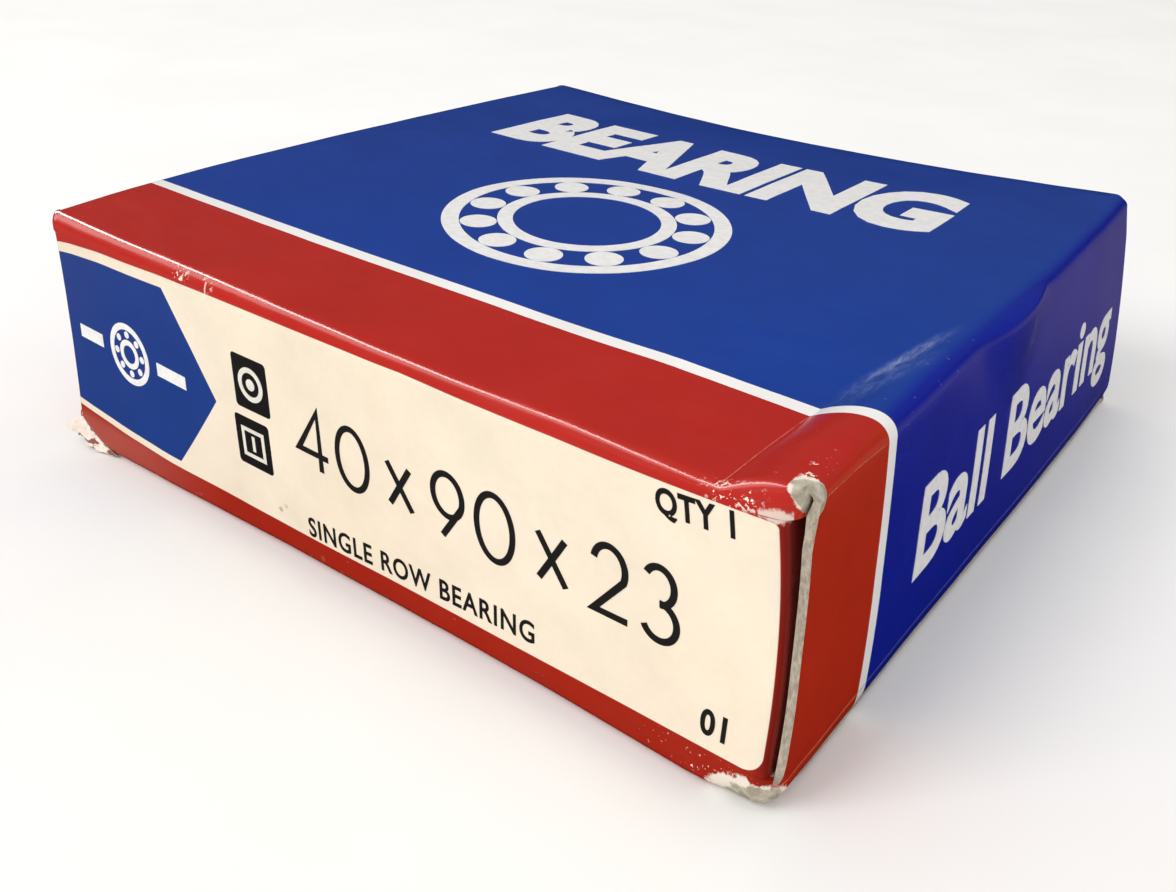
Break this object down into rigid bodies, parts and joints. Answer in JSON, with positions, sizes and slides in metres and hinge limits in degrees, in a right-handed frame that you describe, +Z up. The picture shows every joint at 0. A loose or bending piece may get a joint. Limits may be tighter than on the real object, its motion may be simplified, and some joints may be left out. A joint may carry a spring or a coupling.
{
  "type": "boxed angular contact bearing",
  "caption": "Angular contact ball bearing in its closed tuck-end carton: flaps and tuck lips open, rings, caged balls and protective film inside.",
  "frame": {"origin": "centre of the carton's base", "axes": "+Z up along the bearing's axis, +X along the label face to its right-hand tuck end, +Y from the label face to the back"},
  "size_m": [0.0936, 0.093, 0.027],
  "materials": {
    "blue_board": "gloss",
    "red_board": "gloss",
    "label_board": "gloss",
    "plain_board": "matte",
    "ring_steel": "satin",
    "ball_steel": "polished",
    "cage_polyamide": "satin",
    "film": "gloss"
  },
  "bodies": {
    "carton": {"top_panel": "blue_board", "bottom_panel": "blue_board", "front_panel": "label_board", "back_panel": "blue_board", "glue_flap": "plain_board"},
    "right_end_flap": {"right_end_flap": "blue_board"},
    "right_tuck_lip": {"right_tuck_lip": "plain_board"},
    "right_front_dust_flap": {"right_front_dust_flap": "red_board"},
    "right_rear_dust_flap": {"right_rear_dust_flap": "plain_board"},
    "left_end_flap": {"left_end_flap": "blue_board"},
    "left_tuck_lip": {"left_tuck_lip": "plain_board"},
    "left_front_dust_flap": {"left_front_dust_flap": "red_board"},
    "left_rear_dust_flap": {"left_rear_dust_flap": "plain_board"},
    "bearing": {"outer_ring": "ring_steel", "protective_film": "film"},
    "inner_ring": {"inner_ring": "ring_steel"},
    "cage": {"cage": "cage_polyamide"},
    "ball_01": {"ball_01": "ball_steel"},
    "ball_02": {"ball_02": "ball_steel"},
    "ball_03": {"ball_03": "ball_steel"},
    "ball_04": {"ball_04": "ball_steel"},
    "ball_05": {"ball_05": "ball_steel"},
    "ball_06": {"ball_06": "ball_steel"},
    "ball_07": {"ball_07": "ball_steel"},
    "ball_08": {"ball_08": "ball_steel"},
    "ball_09": {"ball_09": "ball_steel"},
    "ball_10": {"ball_10": "ball_steel"},
    "ball_11": {"ball_11": "ball_steel"},
    "ball_12": {"ball_12": "ball_steel"}
  },
  "joints": [
    {"name": "right_flap_hinge", "type": "hinge", "parent": "carton", "child": "right_end_flap", "pos_m": [0.04675, 0, 0.0265], "axis": [0, -1, 0], "range_deg": [0, 170]},
    {"name": "right_lip_fold", "type": "hinge", "parent": "right_end_flap", "child": "right_tuck_lip", "pos_m": [0.04625, 0, 0.0006], "axis": [0, -1, 0], "range_deg": [0, 17.5]},
    {"name": "right_front_dust_fold", "type": "hinge", "parent": "carton", "child": "right_front_dust_flap", "pos_m": [0.0456, -0.046, 0.0142], "axis": [0, 0, -1], "range_deg": [0, 86]},
    {"name": "right_rear_dust_fold", "type": "hinge", "parent": "carton", "child": "right_rear_dust_flap", "pos_m": [0.0456, 0.046, 0.0142], "axis": [0, 0, 1], "range_deg": [0, 86]},
    {"name": "left_flap_hinge", "type": "hinge", "parent": "carton", "child": "left_end_flap", "pos_m": [-0.04675, 0, 0.0265], "axis": [0, 1, 0], "range_deg": [0, 170]},
    {"name": "left_lip_fold", "type": "hinge", "parent": "left_end_flap", "child": "left_tuck_lip", "pos_m": [-0.04625, 0, 0.0006], "axis": [0, 1, 0], "range_deg": [0, 17.5]},
    {"name": "left_front_dust_fold", "type": "hinge", "parent": "carton", "child": "left_front_dust_flap", "pos_m": [-0.0456, -0.046, 0.0142], "axis": [0, 0, 1], "range_deg": [0, 86]},
    {"name": "left_rear_dust_fold", "type": "hinge", "parent": "carton", "child": "left_rear_dust_flap", "pos_m": [-0.0456, 0.046, 0.0142], "axis": [0, 0, -1], "range_deg": [0, 86]},
    {"name": "bearing_play", "type": "slide", "parent": "carton", "child": "bearing", "axis": [1, 0, 0], "range_m": [-0.0008, 0.0008]},
    {"name": "inner_ring_spin", "type": "hinge", "parent": "bearing", "child": "inner_ring", "pos_m": [0, 0, 0.0146], "axis": [0, 0, 1], "continuous": true},
    {"name": "cage_spin", "type": "hinge", "parent": "bearing", "child": "cage", "pos_m": [0, 0, 0.0146], "axis": [0, 0, 1], "continuous": true},
    {"name": "ball_01_spin", "type": "hinge", "parent": "cage", "child": "ball_01", "pos_m": [0.0325, 0, 0.0146], "axis": [-0.6428, 0, 0.766], "continuous": true},
    {"name": "ball_02_spin", "type": "hinge", "parent": "cage", "child": "ball_02", "pos_m": [0.02815, 0.01625, 0.0146], "axis": [-0.5567, -0.3214, 0.766], "continuous": true},
    {"name": "ball_03_spin", "type": "hinge", "parent": "cage", "child": "ball_03", "pos_m": [0.01625, 0.02815, 0.0146], "axis": [-0.3214, -0.5567, 0.766], "continuous": true},
    {"name": "ball_04_spin", "type": "hinge", "parent": "cage", "child": "ball_04", "pos_m": [0, 0.0325, 0.0146], "axis": [0, -0.6428, 0.766], "continuous": true},
    {"name": "ball_05_spin", "type": "hinge", "parent": "cage", "child": "ball_05", "pos_m": [-0.01625, 0.02815, 0.0146], "axis": [0.3214, -0.5567, 0.766], "continuous": true},
    {"name": "ball_06_spin", "type": "hinge", "parent": "cage", "child": "ball_06", "pos_m": [-0.02815, 0.01625, 0.0146], "axis": [0.5567, -0.3214, 0.766], "continuous": true},
    {"name": "ball_07_spin", "type": "hinge", "parent": "cage", "child": "ball_07", "pos_m": [-0.0325, 0, 0.0146], "axis": [0.6428, 0, 0.766], "continuous": true},
    {"name": "ball_08_spin", "type": "hinge", "parent": "cage", "child": "ball_08", "pos_m": [-0.02815, -0.01625, 0.0146], "axis": [0.5567, 0.3214, 0.766], "continuous": true},
    {"name": "ball_09_spin", "type": "hinge", "parent": "cage", "child": "ball_09", "pos_m": [-0.01625, -0.02815, 0.0146], "axis": [0.3214, 0.5567, 0.766], "continuous": true},
    {"name": "ball_10_spin", "type": "hinge", "parent": "cage", "child": "ball_10", "pos_m": [0, -0.0325, 0.0146], "axis": [0, 0.6428, 0.766], "continuous": true},
    {"name": "ball_11_spin", "type": "hinge", "parent": "cage", "child": "ball_11", "pos_m": [0.01625, -0.02815, 0.0146], "axis": [-0.3214, 0.5567, 0.766], "continuous": true},
    {"name": "ball_12_spin", "type": "hinge", "parent": "cage", "child": "ball_12", "pos_m": [0.02815, -0.01625, 0.0146], "axis": [-0.5567, 0.3214, 0.766], "continuous": true}
  ],
  "couplings": [
    {"joint": "right_lip_fold", "follows": "right_flap_hinge", "ratio": 0.1},
    {"joint": "right_front_dust_fold", "follows": "right_flap_hinge", "ratio": 0.5},
    {"joint": "right_rear_dust_fold", "follows": "right_flap_hinge", "ratio": 0.5},
    {"joint": "left_lip_fold", "follows": "left_flap_hinge", "ratio": 0.1},
    {"joint": "left_front_dust_fold", "follows": "left_flap_hinge", "ratio": 0.5},
    {"joint": "left_rear_dust_fold", "follows": "left_flap_hinge", "ratio": 0.5},
    {"joint": "cage_spin", "follows": "inner_ring_spin", "ratio": 0.41113},
    {"joint": "ball_01_spin", "follows": "inner_ring_spin", "ratio": -2.087},
    {"joint": "ball_02_spin", "follows": "inner_ring_spin", "ratio": -2.087},
    {"joint": "ball_03_spin", "follows": "inner_ring_spin", "ratio": -2.087},
    {"joint": "ball_04_spin", "follows": "inner_ring_spin", "ratio": -2.087},
    {"joint": "ball_05_spin", "follows": "inner_ring_spin", "ratio": -2.087},
    {"joint": "ball_06_spin", "follows": "inner_ring_spin", "ratio": -2.087},
    {"joint": "ball_07_spin", "follows": "inner_ring_spin", "ratio": -2.087},
    {"joint": "ball_08_spin", "follows": "inner_ring_spin", "ratio": -2.087},
    {"joint": "ball_09_spin", "follows": "inner_ring_spin", "ratio": -2.087},
    {"joint": "ball_10_spin", "follows": "inner_ring_spin", "ratio": -2.087},
    {"joint": "ball_11_spin", "follows": "inner_ring_spin", "ratio": -2.087},
    {"joint": "ball_12_spin", "follows": "inner_ring_spin", "ratio": -2.087}
  ]
}
